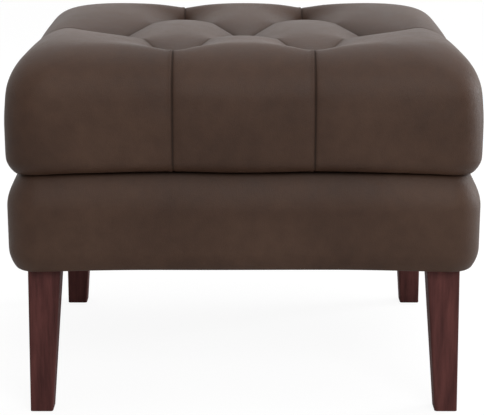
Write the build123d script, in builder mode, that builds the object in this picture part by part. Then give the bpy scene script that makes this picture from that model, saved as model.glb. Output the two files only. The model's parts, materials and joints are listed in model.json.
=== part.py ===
from build123d import *
from math import cos, hypot, radians, sin
import os

# A tufted leather ottoman that serves as a coffee table. Lengths are in millimetres: X runs across
# the front, Y from front to back and Z up from the floor, under the middle of the piece.

# Overall sizes
overall_width = 615.0
overall_depth = 535.0
leg_top_height = 197.5
frame_height = 113.0
cushion_rise = 160.0  # crown of the cushion above the crease

# Leather and clearances
leather = 1.6
soft_gap = 0.3  # between soft pieces and what they lie against
fit_gap = 0.1  # round screws, bolts and dowels
overrun = 5.0  # how far cuts run past a face

# Plan of the upholstery
corner_radius = 45.0
flange_inset = 25.0  # the cushion cover's skirt, in from the widest line

# Wooden frame
rail_thickness = 20.0
post_size = 45.0
deck_thickness = 12.0
deck_to_crease = 7.0
brace_thickness = 20.0
brace_height = 45.0
brace_spacing = 270.0

# Tufting
tuft_pitch = 180.0
tuft_row = 195.0  # the front and back rows, from the middle one
tuft_depth = 38.0
tuft_radius = 75.0
tuft_flat_radius = 3.0
pleat_depth = 11.0
pleat_half_width = 75.0
pleat_rim = 0.8  # the pleats' rims stand this far over the crown
seam_depth = 8.0  # how far the face seams are drawn in, at the crown

# Cushion profile
underside_roll = 11.0
shoulder_radius = 69.0
crown_inset = 110.0
crown_rise = 3.0
side_bow = 1.5
widest_height = 66.0  # above the crease

# Band profile
band_top_roll = 62.0
band_bottom_roll = 28.0
band_bottom_inset = 14.0
band_hem = 42.0  # leather turned under the frame
tack_strip_thickness = 1.5
tack_strip_height = 12.0

# Legs and their hardware
leg_top_size = 42.8
leg_foot_size = 30.0
leg_top_inset = 25.8
leg_foot_inset = 23.1
leg_edge_radius = 3.5
bolt_radius = 4.0
bolt_in_leg = 34.0
bolt_in_post = 28.0
insert_radius = 6.0
insert_height = 15.0
glide_radius = 12.0
glide_height = 5.0
glide_showing = 1.0
glide_edge = 0.6
glide_pin_radius = 1.5
glide_pin_length = 14.0

# Joinery
dowel_radius = 4.0
dowel_length = 36.0
dowel_end_gap = 1.0
dowel_height_shares = (0.25, 0.75)
screw_shank_radius = 2.0
screw_head_radius = 4.0
deck_screw_length = 30.0
brace_screw_length = 60.0
right_angle = 90.0

# Tufting hardware
twine_radius = 1.1
knot_radius = 2.6
knot_height = 3.0
washer_radius = 11.0
washer_thickness = 2.0
deck_hole_radius = 3.0
vent_radius = 15.0

# Dust cover
dust_cover_thickness = 0.8
dust_cover_inset = 28.0
leg_notch_gap = 1.0
staple_length = 10.0
staple_width = 1.2
staple_thickness = 0.5
staple_inset = 8.0
staple_spacing = 50.0

half_width = overall_width / 2
half_depth = overall_depth / 2
rail_bottom = leg_top_height + leather
rail_top = rail_bottom + frame_height
deck_top = rail_top + deck_thickness
crease_height = deck_top + deck_to_crease
crown_height = crease_height + cushion_rise
shoulder_center_height = crown_height - crown_rise - shoulder_radius
seam_x = tuft_pitch / 2

# The wooden frame lies just inside the cushion cover's skirt
frame_inset = flange_inset + leather + soft_gap
frame_half_width = half_width - frame_inset
frame_half_depth = half_depth - frame_inset
frame_corner_radius = corner_radius - frame_inset

corners = {
    "front_left": (-1, -1),
    "front_right": (1, -1),
    "back_left": (-1, 1),
    "back_right": (1, 1),
}
tuft_places = [
    (-tuft_pitch / 2, -tuft_row),
    (tuft_pitch / 2, -tuft_row),
    (-tuft_pitch, 0),
    (0, 0),
    (tuft_pitch, 0),
    (-tuft_pitch / 2, tuft_row),
    (tuft_pitch / 2, tuft_row),
]

os.makedirs("parts", exist_ok=True)


def save(part, name):
    """Label a finished piece and write it."""
    part.label = name
    export_step(part, f"parts/{name}.step")


# Legs: square, tapered to the foot, the taper mostly on the inner faces
leg_top_x = half_width - leg_top_inset - leg_top_size / 2
leg_top_y = half_depth - leg_top_inset - leg_top_size / 2
leg_foot_x = half_width - leg_foot_inset - leg_foot_size / 2
leg_foot_y = half_depth - leg_foot_inset - leg_foot_size / 2
glide_seat = glide_height - glide_showing

for name, (side, end) in corners.items():
    foot_plane = Plane((side * leg_foot_x, end * leg_foot_y, glide_showing))
    top_plane = Plane((side * leg_top_x, end * leg_top_y, leg_top_height))
    with BuildPart() as leg:
        with BuildSketch(foot_plane):
            RectangleRounded(leg_foot_size, leg_foot_size, leg_edge_radius)
        with BuildSketch(top_plane):
            RectangleRounded(leg_top_size, leg_top_size, leg_edge_radius)
        loft(ruled=True)
        with Locations(top_plane):
            Hole(bolt_radius + fit_gap, bolt_in_leg + dowel_end_gap)
        with BuildSketch(foot_plane):
            Circle(glide_radius + fit_gap)
        extrude(amount=glide_seat, mode=Mode.SUBTRACT)
        with BuildSketch(foot_plane):
            Circle(glide_pin_radius + fit_gap)
        extrude(amount=glide_seat + glide_pin_length + dowel_end_gap, mode=Mode.SUBTRACT)
    save(leg.part, f"leg_{name}")

# Glides: a disc with a driven pin, let into each foot
foot_centers = [(side * leg_foot_x, end * leg_foot_y) for side, end in corners.values()]
with BuildPart() as glides:
    with BuildSketch():
        with Locations(*foot_centers):
            Circle(glide_radius)
    extrude(amount=glide_height)
    chamfer(glides.edges().group_by(Axis.Z)[0], glide_edge)
    with BuildSketch(Plane.XY.offset(glide_height)):
        with Locations(*foot_centers):
            Circle(glide_pin_radius)
    extrude(amount=glide_pin_length)
save(glides.part, "glides")

# Leg bolts: hanger bolts, half in the leg and half in the post
bolt_centers = [(side * leg_top_x, end * leg_top_y) for side, end in corners.values()]
with BuildPart() as leg_bolts:
    with BuildSketch(Plane.XY.offset(leg_top_height - bolt_in_leg)):
        with Locations(*bolt_centers):
            Circle(bolt_radius)
    extrude(amount=bolt_in_leg + bolt_in_post)
    chamfer(leg_bolts.edges().group_by(Axis.Z)[-1], dowel_end_gap)
save(leg_bolts.part, "leg_bolts")

# Leg inserts: threaded sleeves let into the posts
with BuildPart() as leg_inserts:
    with BuildSketch(Plane.XY.offset(rail_bottom)):
        with Locations(*bolt_centers):
            Circle(insert_radius)
            Circle(bolt_radius + fit_gap, mode=Mode.SUBTRACT)
    extrude(amount=insert_height)
save(leg_inserts.part, "leg_inserts")

# Dowels: two at each end of each rail, above one another
dowel_heights = [rail_bottom + frame_height * share for share in dowel_height_shares]
long_rail_end = frame_half_width - post_size
short_rail_end = frame_half_depth - post_size
long_rail_y = frame_half_depth - rail_thickness / 2
short_rail_x = frame_half_width - rail_thickness / 2
long_dowels = [
    (side * long_rail_end, end * long_rail_y, height)
    for side, end in corners.values()
    for height in dowel_heights
]
short_dowels = [
    (side * short_rail_x, end * short_rail_end, height)
    for side, end in corners.values()
    for height in dowel_heights
]
along_x = (0, right_angle, 0)
along_y = (right_angle, 0, 0)
dowel_hole_length = dowel_length + 2 * dowel_end_gap

with BuildPart() as frame_dowels:
    with Locations(*long_dowels):
        Cylinder(dowel_radius, dowel_length, rotation=along_x)
    with Locations(*short_dowels):
        Cylinder(dowel_radius, dowel_length, rotation=along_y)
save(frame_dowels.part, "frame_dowels")

# Deck screws: one over each post, two over each long rail and one over each short rail
post_center_x = frame_half_width - post_size / 2
post_center_y = frame_half_depth - post_size / 2
rail_screw_x = long_rail_end / 2
deck_screw_places = [(side * post_center_x, end * post_center_y) for side, end in corners.values()]
deck_screw_places += [(side * rail_screw_x, end * long_rail_y) for side, end in corners.values()]
deck_screw_places += [(side * short_rail_x, 0) for side in (-1, 1)]
head_height = screw_head_radius - screw_shank_radius
deck_screw_tops = [(x, y, deck_top) for x, y in deck_screw_places]
screw_hole_radius = screw_shank_radius + fit_gap
head_hole_radius = screw_head_radius + fit_gap
from_top = (Align.CENTER, Align.CENTER, Align.MAX)

with BuildPart() as deck_screws:
    with Locations(*deck_screw_tops):
        Cylinder(screw_shank_radius, deck_screw_length, align=from_top)
        Cone(screw_shank_radius, screw_head_radius, head_height, align=from_top)
save(deck_screws.part, "deck_screws")

# Corner posts: rounded outside to carry the cushion cover's skirt
for name, (side, end) in corners.items():
    post_center = (side * post_center_x, end * post_center_y)
    with BuildPart() as post:
        with BuildSketch(Plane.XY.offset(rail_bottom)):
            with Locations(post_center):
                Rectangle(post_size, post_size)
        extrude(amount=frame_height)
        outer_edge = post.edges().filter_by(Axis.Z).sort_by_distance(
            (side * half_width, end * half_depth, rail_bottom)
        )[0]
        fillet(outer_edge, frame_corner_radius)
        with Locations(*long_dowels):
            Cylinder(dowel_radius + fit_gap, dowel_hole_length, rotation=along_x, mode=Mode.SUBTRACT)
        with Locations(*short_dowels):
            Cylinder(dowel_radius + fit_gap, dowel_hole_length, rotation=along_y, mode=Mode.SUBTRACT)
        with Locations((*post_center, rail_top)):
            Hole(screw_hole_radius, deck_screw_length)
        with BuildSketch(Plane.XY.offset(rail_bottom)):
            with Locations((side * leg_top_x, end * leg_top_y)):
                Circle(insert_radius + fit_gap)
        extrude(amount=insert_height, mode=Mode.SUBTRACT)
        with BuildSketch(Plane.XY.offset(rail_bottom)):
            with Locations((side * leg_top_x, end * leg_top_y)):
                Circle(bolt_radius + fit_gap)
        extrude(amount=bolt_in_post + dowel_end_gap, mode=Mode.SUBTRACT)
    save(post.part, f"corner_post_{name}")

# Rails between the posts, bored for dowels, deck screws and brace screws
brace_x = brace_spacing / 2
brace_end = frame_half_depth - rail_thickness
brace_screw_height = rail_top - brace_height / 2

for name, end in (("front_rail", -1), ("back_rail", 1)):
    with BuildPart() as rail:
        with BuildSketch(Plane.XY.offset(rail_bottom)):
            with Locations((0, end * long_rail_y)):
                Rectangle(2 * long_rail_end, rail_thickness)
        extrude(amount=frame_height)
        with Locations(*long_dowels):
            Cylinder(dowel_radius + fit_gap, dowel_hole_length, rotation=along_x, mode=Mode.SUBTRACT)
        with Locations(*[(side * rail_screw_x, end * long_rail_y, rail_top) for side in (-1, 1)]):
            Hole(screw_hole_radius, deck_screw_length)
        for side in (-1, 1):
            screw_plane = Plane(
                (side * brace_x, end * frame_half_depth, brace_screw_height),
                x_dir=(1, 0, 0),
                z_dir=(0, end, 0),
            )
            with Locations(screw_plane):
                CounterSinkHole(screw_hole_radius, head_hole_radius, counter_sink_angle=right_angle)
    save(rail.part, name)

for name, side in (("left_rail", -1), ("right_rail", 1)):
    with BuildPart() as rail:
        with BuildSketch(Plane.XY.offset(rail_bottom)):
            with Locations((side * short_rail_x, 0)):
                Rectangle(rail_thickness, 2 * short_rail_end)
        extrude(amount=frame_height)
        with Locations(*short_dowels):
            Cylinder(dowel_radius + fit_gap, dowel_hole_length, rotation=along_y, mode=Mode.SUBTRACT)
        with Locations((side * short_rail_x, 0, rail_top)):
            Hole(screw_hole_radius, deck_screw_length)
    save(rail.part, name)

# Braces from rail to rail under the deck, and the screws that hold them
for name, side in (("brace_left", -1), ("brace_right", 1)):
    with BuildPart() as brace:
        with BuildSketch(Plane.XY.offset(rail_top - brace_height)):
            with Locations((side * brace_x, 0)):
                Rectangle(brace_thickness, 2 * brace_end)
        extrude(amount=brace_height)
        for end in (-1, 1):
            with Locations(Plane((side * brace_x, end * brace_end, brace_screw_height), z_dir=(0, end, 0))):
                Hole(screw_hole_radius, brace_screw_length - rail_thickness + dowel_end_gap)
    save(brace.part, name)

with BuildPart() as brace_screws:
    for side, end in corners.values():
        screw_start = (side * brace_x, end * frame_half_depth, brace_screw_height)
        with Locations(Plane(screw_start, z_dir=(0, end, 0))):
            Cylinder(screw_shank_radius, brace_screw_length, align=from_top)
            Cone(screw_shank_radius, screw_head_radius, head_height, align=from_top)
save(brace_screws.part, "brace_screws")

# Deck board: a panel over the frame, with holes for the tufts' twines and for air
with BuildPart() as deck_board:
    with BuildSketch(Plane.XY.offset(rail_top)):
        RectangleRounded(2 * frame_half_width, 2 * frame_half_depth, frame_corner_radius)
        with Locations(*tuft_places):
            Circle(deck_hole_radius, mode=Mode.SUBTRACT)
        with Locations((-tuft_pitch / 2, 0), (tuft_pitch / 2, 0)):
            Circle(vent_radius, mode=Mode.SUBTRACT)
    extrude(amount=deck_thickness)
    with Locations(*deck_screw_tops):
        CounterSinkHole(screw_hole_radius, head_hole_radius, counter_sink_angle=right_angle)
save(deck_board.part, "deck_board")


# Cushion: one form for the leather's outside, its inside and the foam, each a skin's depth further in
underside_angles = (0, 30, 60, 90)
shoulder_angles = (0, 18, 36, 54, 72, 90)
shoulder_corner_share = 0.25  # how much the plan corners open out as the shoulder turns in
crease_seam_share = 0.08  # how much of the seam's depth is left at the crease


def wall_levels(skin):
    """Inset, height and corner radius of each outline from the crease up to the shoulder."""
    levels = []
    for angle in underside_angles:
        turned = radians(angle)
        inset = flange_inset - (flange_inset - skin - side_bow) * sin(turned)
        height = crease_height + underside_roll - (underside_roll - skin) * cos(turned)
        levels.append((inset, height, corner_radius - inset))
    levels.append((skin, crease_height + widest_height, corner_radius - skin))
    return levels


def shoulder_levels(skin):
    """Inset, height and corner radius of each outline round the shoulder."""
    levels = []
    for angle in shoulder_angles:
        turned = radians(angle)
        inset = shoulder_radius - (shoulder_radius - skin) * cos(turned)
        height = shoulder_center_height + (shoulder_radius - skin) * sin(turned)
        levels.append((inset, height, corner_radius - skin + shoulder_corner_share * (inset - skin)))
    return levels


def crown_level(skin):
    """Inset, height and corner radius of the outline round the crown."""
    return crown_inset, crown_height - skin, corner_radius - skin + shoulder_corner_share * crown_inset


def cushion_outline(inset, height, corner):
    """One outline of the cushion: round corners, and panels that swell between the seams."""
    x = half_width - inset
    y = half_depth - inset
    seam_share = crease_seam_share + (1 - crease_seam_share) * (height - crease_height) / cushion_rise
    drawn = seam_depth * seam_share
    with BuildSketch(Plane.XY.offset(height)) as outline:
        with BuildLine():
            for side, end in corners.values():
                front_start = (side * (x - corner), end * y)
                side_start = (side * x, end * (y - corner))
                TangentArc(front_start, (side * seam_x, end * (y - drawn)), tangent=(-side, 0))
                TangentArc(side_start, (side * (x - drawn), 0), tangent=(0, -end))
                TangentArc(front_start, side_start, tangent=(side, 0))
            for end in (-1, 1):
                ThreePointArc((-seam_x, end * (y - drawn)), (0, end * y), (seam_x, end * (y - drawn)))
        make_face()
    return outline.sketch


def pleat_cutter(start, stop, rim):
    """The room over one straight pleat between two points, under which the pillows swell."""
    length = hypot(stop[0] - start[0], stop[1] - start[1])
    along = ((stop[0] - start[0]) / length, (stop[1] - start[1]) / length, 0)
    across = (-along[1], along[0], 0)
    valley = (0, -pleat_depth - pleat_rim)
    with BuildPart() as cutter:
        with BuildSketch(Plane((*start, rim), x_dir=across, z_dir=along)):
            with BuildLine():
                TangentArc((-pleat_half_width, 0), valley, tangent=(1, 0))
                TangentArc((pleat_half_width, 0), valley, tangent=(-1, 0))
                Polyline(
                    (-pleat_half_width, 0),
                    (-pleat_half_width, overrun),
                    (pleat_half_width, overrun),
                    (pleat_half_width, 0),
                )
            make_face()
        extrude(amount=length)
    return cutter.part


def funnel_cutter(place, rim):
    """The room over one tuft, a funnel with swelling sides."""
    bottom = (tuft_flat_radius, rim - tuft_depth - pleat_rim)
    with BuildPart() as cutter:
        with BuildSketch(Plane.XZ):
            with BuildLine():
                TangentArc((tuft_radius, rim), bottom, tangent=(-1, 0))
                Polyline(
                    bottom,
                    (0, bottom[1]),
                    (0, rim + overrun),
                    (tuft_radius, rim + overrun),
                    (tuft_radius, rim),
                )
            make_face()
        revolve(axis=Axis.Z)
    return Pos(*place) * cutter.part


# Diamond pleats run from the middle row to the front and back rows, and straight ones to the edges
pleats = []
for side, end in corners.values():
    tuft = (side * tuft_pitch / 2, end * tuft_row)
    pleats.append((tuft, (0, 0)))
    pleats.append((tuft, (side * tuft_pitch, 0)))
    pleats.append((tuft, (side * tuft_pitch / 2, end * half_depth)))
for side in (-1, 1):
    pleats.append(((side * tuft_pitch, 0), (side * half_width, 0)))


def cushion_form(skin):
    """The tufted cushion as a solid, its surface drawn in by a skin's depth."""
    rim = crown_height + pleat_rim - skin
    wall = [cushion_outline(*level) for level in wall_levels(skin)]
    shoulder = [cushion_outline(*level) for level in shoulder_levels(skin)]
    crown = cushion_outline(*crown_level(skin))
    cutters = [funnel_cutter(place, rim) for place in tuft_places]
    cutters += [pleat_cutter(start, stop, rim) for start, stop in pleats]
    with BuildPart() as form:
        loft([*wall, shoulder[0]], ruled=True)
        loft(shoulder)
        loft([shoulder[-1], crown], ruled=True)
        for cutter in cutters:
            add(cutter, clean=False, mode=Mode.SUBTRACT)
    return form.part


cushion_outside = cushion_form(0)
cushion_inside = cushion_form(leather)
cushion_filling = cushion_form(leather + soft_gap)


def skirt_outline(inset):
    """A rounded rectangle drawn in from the widest line, its corners concentric."""
    RectangleRounded(2 * (half_width - inset), 2 * (half_depth - inset), corner_radius - inset)


# Cushion cover: leather over the foam, closed at the crease and stapled to the rails by its skirt
skirt_height = 2 * deck_thickness
with BuildPart() as cushion_cover:
    add(cushion_outside)
    with BuildSketch(Plane.XY.offset(deck_top - skirt_height)):
        skirt_outline(flange_inset)
    extrude(amount=skirt_height + deck_to_crease + leather)
    add(cushion_inside, clean=False, mode=Mode.SUBTRACT)
    with BuildSketch(Plane.XY.offset(deck_top - skirt_height)):
        skirt_outline(flange_inset + leather)
    extrude(amount=skirt_height + deck_to_crease + 2 * leather, mode=Mode.SUBTRACT)
save(cushion_cover.part, "cushion_cover")

# Cushion foam: fills the cover down to the deck, bored for the twines
with BuildPart() as cushion_foam:
    add(cushion_filling)
    with BuildSketch(Plane.XY.offset(deck_top)):
        skirt_outline(frame_inset)
    extrude(amount=deck_to_crease + 2 * leather)
    with BuildSketch(Plane.XY.offset(deck_top)):
        with Locations(*tuft_places):
            Circle(twine_radius + fit_gap)
    extrude(amount=crown_height - deck_top, mode=Mode.SUBTRACT)
save(cushion_foam.part, "cushion_foam")

# Tuft twines: from each tuft's point down through the deck to a knot
twine_top = crown_height - tuft_depth - leather - soft_gap
washer_bottom = rail_top - washer_thickness
with BuildPart() as tuft_twines:
    with BuildSketch(Plane.XY.offset(washer_bottom)):
        with Locations(*tuft_places):
            Circle(twine_radius)
    extrude(amount=twine_top - washer_bottom)
    with BuildSketch(Plane.XY.offset(washer_bottom - knot_height)):
        with Locations(*tuft_places):
            Circle(knot_radius)
    extrude(amount=knot_height)
save(tuft_twines.part, "tuft_twines")

with BuildPart() as tuft_washers:
    with BuildSketch(Plane.XY.offset(washer_bottom)):
        with Locations(*tuft_places):
            Circle(washer_radius)
            Circle(twine_radius + fit_gap, mode=Mode.SUBTRACT)
    extrude(amount=washer_thickness)
save(tuft_washers.part, "tuft_washers")


# Band: one form for the leather's outside, its inside and the padding
band_bottom_angles = (90, 67, 45, 22, 0)
band_top_angles = (0, 20, 40, 60, 80)


def band_outline(inset, height):
    """One outline of the band."""
    with BuildSketch(Plane.XY.offset(height)) as outline:
        RectangleRounded(2 * (half_width - inset), 2 * (half_depth - inset), corner_radius - inset)
    return outline.sketch


def band_form(skin):
    """The padded band as a solid block, its surface drawn in by a skin's depth."""
    bottom_center = leg_top_height + band_bottom_roll
    top_center = crease_height - soft_gap - band_top_roll
    lower = []
    for angle in band_bottom_angles:
        turned = radians(angle)
        inset = band_bottom_inset - (band_bottom_inset - skin) * cos(turned)
        lower.append(band_outline(inset, bottom_center - (band_bottom_roll - skin) * sin(turned)))
    upper = []
    for angle in band_top_angles:
        turned = radians(angle)
        inset = flange_inset - (flange_inset - skin) * cos(turned)
        upper.append(band_outline(inset, top_center + (band_top_roll - skin) * sin(turned)))
    with BuildPart() as form:
        loft(lower)
        loft([lower[-1], upper[0]], ruled=True)
        loft(upper)
    return form.part


band_outside = band_form(0)
band_inside = band_form(leather)
band_filling = band_form(leather + soft_gap)
hem_inset = band_bottom_inset + band_hem
skirt_bottom = deck_top - skirt_height
above_band = crease_height + overrun

# Band cover: leather from the crease, down over the padding and turned in under the rails
with BuildPart() as band_cover:
    add(band_outside)
    add(band_inside, mode=Mode.SUBTRACT)
    with BuildSketch(Plane.XY.offset(rail_bottom)):
        skirt_outline(flange_inset - soft_gap)
    extrude(amount=above_band - rail_bottom, mode=Mode.SUBTRACT)
    with BuildSketch(Plane.XY.offset(leg_top_height - overrun)):
        Rectangle(2 * (half_width - hem_inset), 2 * (half_depth - hem_inset))
        with Locations(*bolt_centers):
            Circle(bolt_radius + fit_gap)
    extrude(amount=leather + 2 * overrun, mode=Mode.SUBTRACT)
save(band_cover.part, "band_cover")

# Band padding: between the frame and the band's leather, stepped over the skirt and the tack strip
strip_inset = flange_inset - soft_gap - tack_strip_thickness
with BuildPart() as band_padding:
    add(band_filling)
    with BuildSketch(Plane.XY.offset(leg_top_height)):
        skirt_outline(frame_inset - soft_gap)
    extrude(amount=above_band - leg_top_height, mode=Mode.SUBTRACT)
    with BuildSketch(Plane.XY.offset(skirt_bottom - soft_gap)):
        skirt_outline(strip_inset - soft_gap)
    extrude(amount=above_band - skirt_bottom, mode=Mode.SUBTRACT)
save(band_padding.part, "band_padding")

# Tack strip: a stiff strip round the skirt, right under the band's top edge
band_top_angle = radians(band_top_angles[-1])
band_top_height = crease_height - soft_gap - band_top_roll * (1 - sin(band_top_angle))
strip_top = band_top_height - leather - soft_gap
with BuildPart() as tack_strip:
    with BuildSketch(Plane.XY.offset(strip_top - tack_strip_height)):
        skirt_outline(strip_inset)
        RectangleRounded(
            2 * (half_width - flange_inset + soft_gap),
            2 * (half_depth - flange_inset + soft_gap),
            corner_radius - flange_inset + soft_gap,
            mode=Mode.SUBTRACT,
        )
    extrude(amount=tack_strip_height)
save(tack_strip.part, "tack_strip")

# Dust cover: thin cloth under the frame, cut out round the legs
notch_x = leg_top_x - leg_top_size / 2 - leg_notch_gap
notch_y = leg_top_y - leg_top_size / 2 - leg_notch_gap
dust_half_width = half_width - dust_cover_inset
dust_half_depth = half_depth - dust_cover_inset
dust_cover_bottom = leg_top_height - dust_cover_thickness
with BuildPart() as dust_cover:
    with BuildSketch(Plane.XY.offset(dust_cover_bottom)):
        Rectangle(2 * dust_half_width, 2 * notch_y)
        Rectangle(2 * notch_x, 2 * dust_half_depth)
    extrude(amount=dust_cover_thickness)
save(dust_cover.part, "dust_cover")

# Staples round the edge of the dust cover
front_count = int(2 * (notch_x - staple_length) / staple_spacing) + 1
side_count = int(2 * (notch_y - staple_length) / staple_spacing) + 1
with BuildPart() as dust_cover_staples:
    with BuildSketch(Plane.XY.offset(dust_cover_bottom - staple_thickness)):
        for end in (-1, 1):
            with Locations((0, end * (dust_half_depth - staple_inset))):
                with GridLocations(staple_spacing, 0, front_count, 1):
                    Rectangle(staple_length, staple_width)
        for side in (-1, 1):
            with Locations((side * (dust_half_width - staple_inset), 0)):
                with GridLocations(0, staple_spacing, 1, side_count):
                    Rectangle(staple_width, staple_length)
    extrude(amount=staple_thickness)
save(dust_cover_staples.part, "dust_cover_staples")
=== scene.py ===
# %% [markdown]
# # A tufted leather ottoman
# This lesson dresses the solids of an ottoman that serves as a coffee table. The wooden legs, the
# frame and the hardware already have their shapes, so they only get finishes. The two upholstered
# pieces, the tufted cushion and the padded band, are soft, so they are modelled here as meshes that
# fill the same space as their solids.

# %% Load the frame
import json
from math import cos, exp, hypot, pi, radians, sin

import bmesh
import bpy
import numpy as np
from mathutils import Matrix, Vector


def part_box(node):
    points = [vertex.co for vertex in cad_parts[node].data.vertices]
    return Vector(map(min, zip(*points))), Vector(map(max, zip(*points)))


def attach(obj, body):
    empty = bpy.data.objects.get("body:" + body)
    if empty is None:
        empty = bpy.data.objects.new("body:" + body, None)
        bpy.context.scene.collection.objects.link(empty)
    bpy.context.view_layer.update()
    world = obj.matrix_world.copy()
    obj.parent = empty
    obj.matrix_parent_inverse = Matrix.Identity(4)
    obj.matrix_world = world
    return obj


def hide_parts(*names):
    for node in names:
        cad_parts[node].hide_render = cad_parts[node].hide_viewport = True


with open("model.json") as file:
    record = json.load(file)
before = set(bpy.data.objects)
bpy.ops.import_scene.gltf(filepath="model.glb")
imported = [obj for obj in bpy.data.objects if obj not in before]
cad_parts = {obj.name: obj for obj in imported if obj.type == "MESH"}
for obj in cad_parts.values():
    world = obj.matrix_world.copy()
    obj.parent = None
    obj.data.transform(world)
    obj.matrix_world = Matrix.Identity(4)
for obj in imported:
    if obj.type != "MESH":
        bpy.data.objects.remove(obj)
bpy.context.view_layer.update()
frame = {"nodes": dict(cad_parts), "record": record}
MM = 0.001

# %% [markdown]
# ## The camera
# The photograph was taken from straight in front, from a little over two metres away and about
# 0.8 m up, with a long lens that looks down by some fifteen degrees. A long lens keeps the rear
# legs nearly as large as the front ones. Nothing needs a shift, so the other views stay centred.

# %% Camera
camera_place = (-2.4 * MM, -2137 * MM, 782 * MM)
camera_tilt = 14.8
camera_lens = 113.2

bpy.ops.object.camera_add(location=camera_place, rotation=(radians(90 - camera_tilt), 0, 0))
camera = bpy.context.object
camera.name = "studio_camera"
camera.data.lens = camera_lens
bpy.context.scene.camera = camera
print("camera at", tuple(round(value, 3) for value in camera.location))

# %% [markdown]
# ## Sizes of the upholstery
# The places of the tufts come from the twines that hold them, and the heights from the boxes of the
# solids, so the soft pieces sit exactly where their solids do.

# %% Sizes
cover_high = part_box("cushion_cover")[1]
twines_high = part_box("tuft_twines")[1]
deck_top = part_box("deck_board")[1][2]
band_low, band_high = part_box("band_cover")

half_width = cover_high[0]
half_depth = cover_high[1]
crown = cover_high[2]
knot_radius = 2.6 * MM
tuft_pitch = twines_high[0] - knot_radius
tuft_row = twines_high[1] - knot_radius
seam_x = tuft_pitch / 2
crease_over_deck = 7 * MM
crease = deck_top + crease_over_deck
leather = 1.6 * MM
corner_radius = 45 * MM
shoulder_radius = 69 * MM
shoulder_taper = 2.2 * MM
taper_height = 35 * MM
crown_rise = 3 * MM
flange_inset = 25 * MM
crease_inset = 14.8 * MM
underside_roll = 15 * MM
skirt_drop = 22 * MM
crease_sag = 3.0 * MM
sag_width = 85 * MM
corner_sag = 5.0 * MM
corner_sag_width = 65 * MM
side_sag = 2.6 * MM
side_sag_place = 40 * MM
side_sag_width = 24 * MM
side_sag_reach = 20 * MM
tuft_depth = crown - twines_high[2] - leather
quarter_length = half_depth + half_width - seam_x - corner_radius * (2 - pi / 2)
quarters = [(-1, -1), (1, -1), (1, 1), (-1, 1)]
print("tufts", round(tuft_pitch, 4), round(tuft_row, 4), "and", round(tuft_depth, 4), "deep")

# %% [markdown]
# ## The cushion's panels
# Diamond tufting divides the leather into panels, and each pleat lies on a border between two of
# them. A grid that follows the panels therefore has its edges along the pleats, which keeps each
# fold sharp, where a square grid would leave steps. There are two whole diamonds in the middle. Six
# more panels run from the outer pleats over the shoulder and down to the crease under the cushion.

# %% The outline of the cushion


def lerp(a, b, share):
    return a + (b - a) * share


def quarter_outline(share, inset, corner):
    """A point of the outline, from the middle of the side, round the corner, to the front seam."""
    x = half_width - inset
    y = half_depth - inset
    side_share = (half_depth - corner_radius) / quarter_length
    corner_share = side_share + corner_radius * pi / 2 / quarter_length
    if share < side_share:
        return Vector((x, (y - corner) * share / side_share))
    if share < corner_share:
        turned = (share - side_share) / (corner_share - side_share) * pi / 2
        return Vector((x - corner + corner * cos(turned), y - corner + corner * sin(turned)))
    left = (1 - share) / (1 - corner_share)
    return Vector((seam_x + (x - corner - seam_x) * left, y))


print("a quarter of the outline is", round(quarter_length, 3), "long")

# %% The profile of the cushion
shoulder_length = shoulder_radius * pi / 2
shoulder_center = crown - crown_rise - shoulder_radius
wall_length = shoulder_center - crease - underside_roll


def side_profile(distance):
    """Inset, height and plan corner radius, so far down from the top of the shoulder."""
    if distance < shoulder_length:
        turned = pi / 2 - distance / shoulder_radius
        inset = shoulder_taper + (shoulder_radius - shoulder_taper) * (1 - cos(turned))
        return inset, shoulder_center + shoulder_radius * sin(turned), corner_radius + 0.25 * inset
    below = distance - shoulder_length
    inset = shoulder_taper * max(1 - below / taper_height, 0) ** 2
    return inset, shoulder_center - below, corner_radius


def under_profile(share):
    """Inset, height and plan corner radius round the underside, and on to the flange."""
    if share <= 0.7:
        left = 1 - share / 0.7
        inset = crease_inset * (1 - left) ** 2
        return inset, crease + underside_roll * left, corner_radius - inset
    inset = lerp(crease_inset, flange_inset, (share - 0.7) / 0.3)
    return inset, crease, corner_radius - inset


print("shoulder", round(shoulder_length, 3), "wall", round(wall_length, 3))

# %% Sag of the crease and height of the top


def sag_at(x, y):
    """How far the crease hangs below its lowest line, more between the seams than at them."""
    if half_depth - abs(y) >= half_width - abs(x):
        away = abs(y)
    elif abs(x) < seam_x:
        away = (seam_x**2 - x**2) / seam_x
    else:
        away = abs(x) - seam_x
    to_corner = hypot(half_width - abs(x), half_depth - abs(y))
    sag = crease_sag * (1 - exp(-((away / sag_width) ** 2)))
    sag += corner_sag * exp(-((to_corner / corner_sag_width) ** 2))
    near_side = min(max(1.9 - (half_width - abs(x)) / side_sag_reach, 0), 1)
    from_place = half_depth - abs(y) - side_sag_place
    return sag + side_sag * near_side**2 * exp(-((from_place / side_sag_width) ** 2))


def top_height(x, y):
    """Height of the top before the tufting, a little lower towards the shoulder."""
    across = max(abs(x) / (half_width - shoulder_radius), abs(y) / (half_depth - shoulder_radius))
    return crown - crown_rise * min(across, 1.0) ** 2


print("the crease sags by", round(sag_at(0, half_depth), 4), "in the middle of the front")

# %% Lines of the grid
columns = 48
fine_steps = [0.9 * MM, 2.0 * MM, 3.6 * MM, 6.0 * MM, 10 * MM]
side_rows = 34
under_rows = 8
skirt_rows = 3
fan_rows = 12
row_growth = 1.15
merge_distance = 0.05 * MM


def marks(length, fine_start, fine_end):
    """Shares of the grid's lines along an edge, with a few close ones beside each fold."""
    start = [0.0] + (fine_steps if fine_start else [])
    end = [length] + ([length - step for step in fine_steps] if fine_end else [])
    gaps = columns + 2 - len(start) - len(end)
    low = start[-1]
    high = min(end)
    between = [lerp(low, high, step / gaps) for step in range(1, gaps)]
    return [place / length for place in start + between + sorted(end)]


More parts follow.
